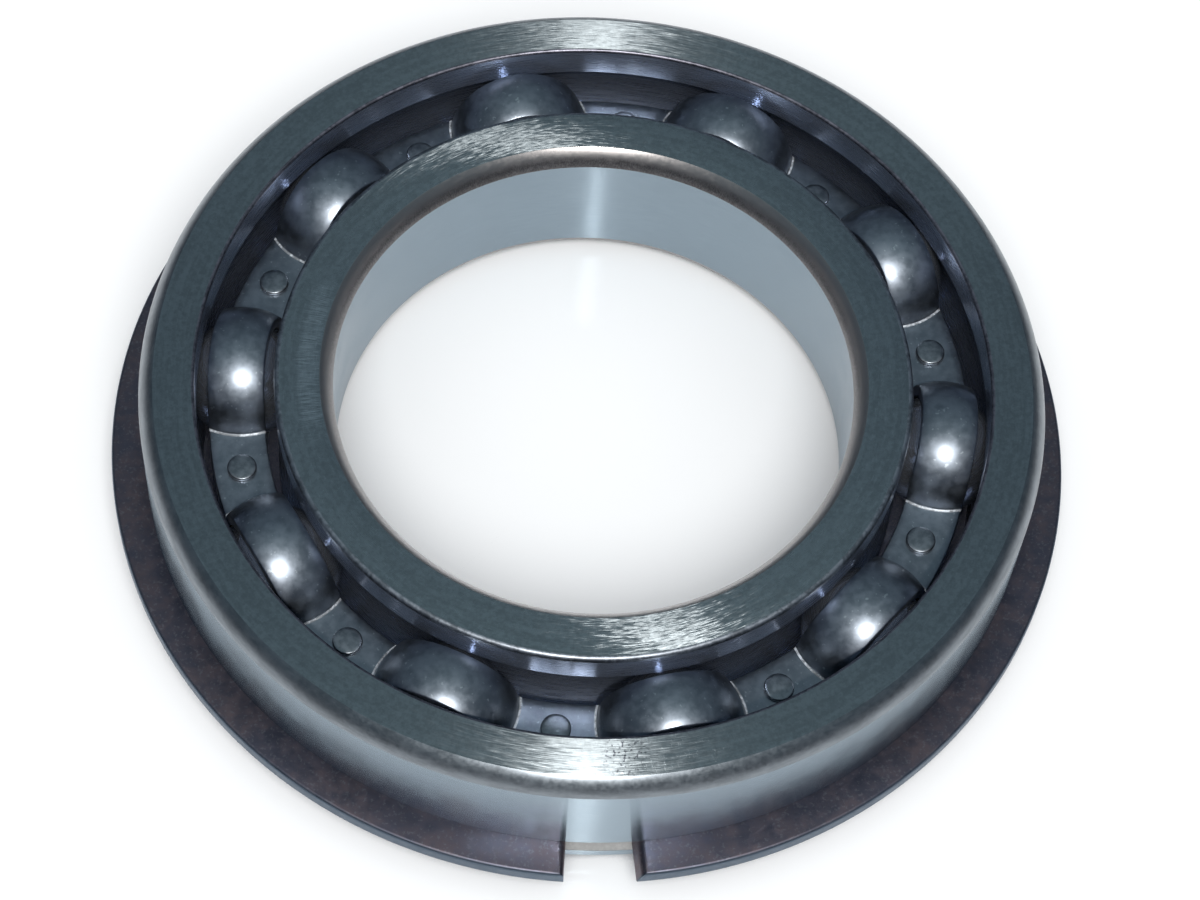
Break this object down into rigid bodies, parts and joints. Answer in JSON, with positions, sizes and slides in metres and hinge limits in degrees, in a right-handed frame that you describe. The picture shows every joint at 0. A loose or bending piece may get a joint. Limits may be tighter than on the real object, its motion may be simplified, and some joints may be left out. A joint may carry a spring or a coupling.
{
  "type": "ball bearing",
  "caption": "Open deep-groove ball bearing with a riveted pressed-steel cage and a snap ring round the outer ring near one face.",
  "frame": {"origin": "centre of the bearing: on its axis, halfway through its width", "axes": "+Z along the bearing's axis, away from the face that the snap ring is near; -Y points to the gap between the snap ring's ends"},
  "size_m": [0.086, 0.0859, 0.015],
  "materials": {
    "ring_steel": "ground bearing steel, satin, cool grey",
    "ball_steel": "polished bearing steel",
    "cage_steel": "pressed sheet steel, semi-gloss, dark cool grey",
    "rivet_steel": "headed mild steel, satin",
    "snap_ring_steel": "blackened spring steel, mottled brown-black"
  },
  "bodies": {
    "outer": {"outer_ring": "ring_steel", "snap_ring": "snap_ring_steel"},
    "inner": {"inner_ring": "ring_steel"},
    "cage": {"cage_half_upper": "cage_steel", "cage_half_lower": "cage_steel", "rivet_01": "rivet_steel", "rivet_02": "rivet_steel", "rivet_03": "rivet_steel", "rivet_04": "rivet_steel", "rivet_05": "rivet_steel", "rivet_06": "rivet_steel", "rivet_07": "rivet_steel", "rivet_08": "rivet_steel", "rivet_09": "rivet_steel", "rivet_10": "rivet_steel"},
    "ball_01": {"ball_01": "ball_steel"},
    "ball_02": {"ball_02": "ball_steel"},
    "ball_03": {"ball_03": "ball_steel"},
    "ball_04": {"ball_04": "ball_steel"},
    "ball_05": {"ball_05": "ball_steel"},
    "ball_06": {"ball_06": "ball_steel"},
    "ball_07": {"ball_07": "ball_steel"},
    "ball_08": {"ball_08": "ball_steel"},
    "ball_09": {"ball_09": "ball_steel"},
    "ball_10": {"ball_10": "ball_steel"}
  },
  "joints": [
    {"name": "inner_ring_spin", "type": "hinge", "parent": "outer", "child": "inner", "pos_m": [0, 0, 0], "axis": [0, 0, 1], "continuous": true},
    {"name": "cage_orbit", "type": "hinge", "parent": "outer", "child": "cage", "pos_m": [0, 0, 0], "axis": [0, 0, 1], "continuous": true},
    {"name": "ball_01_spin", "type": "hinge", "parent": "cage", "child": "ball_01", "pos_m": [0.02758, 0.01522, 0], "axis": [0, 0, 1], "continuous": true},
    {"name": "ball_02_spin", "type": "hinge", "parent": "cage", "child": "ball_02", "pos_m": [0.01336, 0.02852, 0], "axis": [0, 0, 1], "continuous": true},
    {"name": "ball_03_spin", "type": "hinge", "parent": "cage", "child": "ball_03", "pos_m": [-0.00596, 0.03093, 0], "axis": [0, 0, 1], "continuous": true},
    {"name": "ball_04_spin", "type": "hinge", "parent": "cage", "child": "ball_04", "pos_m": [-0.023, 0.02152, 0], "axis": [0, 0, 1], "continuous": true},
    {"name": "ball_05_spin", "type": "hinge", "parent": "cage", "child": "ball_05", "pos_m": [-0.03126, 0.00389, 0], "axis": [0, 0, 1], "continuous": true},
    {"name": "ball_06_spin", "type": "hinge", "parent": "cage", "child": "ball_06", "pos_m": [-0.02758, -0.01522, 0], "axis": [0, 0, 1], "continuous": true},
    {"name": "ball_07_spin", "type": "hinge", "parent": "cage", "child": "ball_07", "pos_m": [-0.01336, -0.02852, 0], "axis": [0, 0, 1], "continuous": true},
    {"name": "ball_08_spin", "type": "hinge", "parent": "cage", "child": "ball_08", "pos_m": [0.00596, -0.03093, 0], "axis": [0, 0, 1], "continuous": true},
    {"name": "ball_09_spin", "type": "hinge", "parent": "cage", "child": "ball_09", "pos_m": [0.023, -0.02152, 0], "axis": [0, 0, 1], "continuous": true},
    {"name": "ball_10_spin", "type": "hinge", "parent": "cage", "child": "ball_10", "pos_m": [0.03126, -0.00389, 0], "axis": [0, 0, 1], "continuous": true}
  ],
  "couplings": [
    {"joint": "cage_orbit", "follows": "inner_ring_spin", "ratio": 0.41495},
    {"joint": "ball_01_spin", "follows": "inner_ring_spin", "ratio": -2.8545},
    {"joint": "ball_02_spin", "follows": "inner_ring_spin", "ratio": -2.8545},
    {"joint": "ball_03_spin", "follows": "inner_ring_spin", "ratio": -2.8545},
    {"joint": "ball_04_spin", "follows": "inner_ring_spin", "ratio": -2.8545},
    {"joint": "ball_05_spin", "follows": "inner_ring_spin", "ratio": -2.8545},
    {"joint": "ball_06_spin", "follows": "inner_ring_spin", "ratio": -2.8545},
    {"joint": "ball_07_spin", "follows": "inner_ring_spin", "ratio": -2.8545},
    {"joint": "ball_08_spin", "follows": "inner_ring_spin", "ratio": -2.8545},
    {"joint": "ball_09_spin", "follows": "inner_ring_spin", "ratio": -2.8545},
    {"joint": "ball_10_spin", "follows": "inner_ring_spin", "ratio": -2.8545}
  ]
}
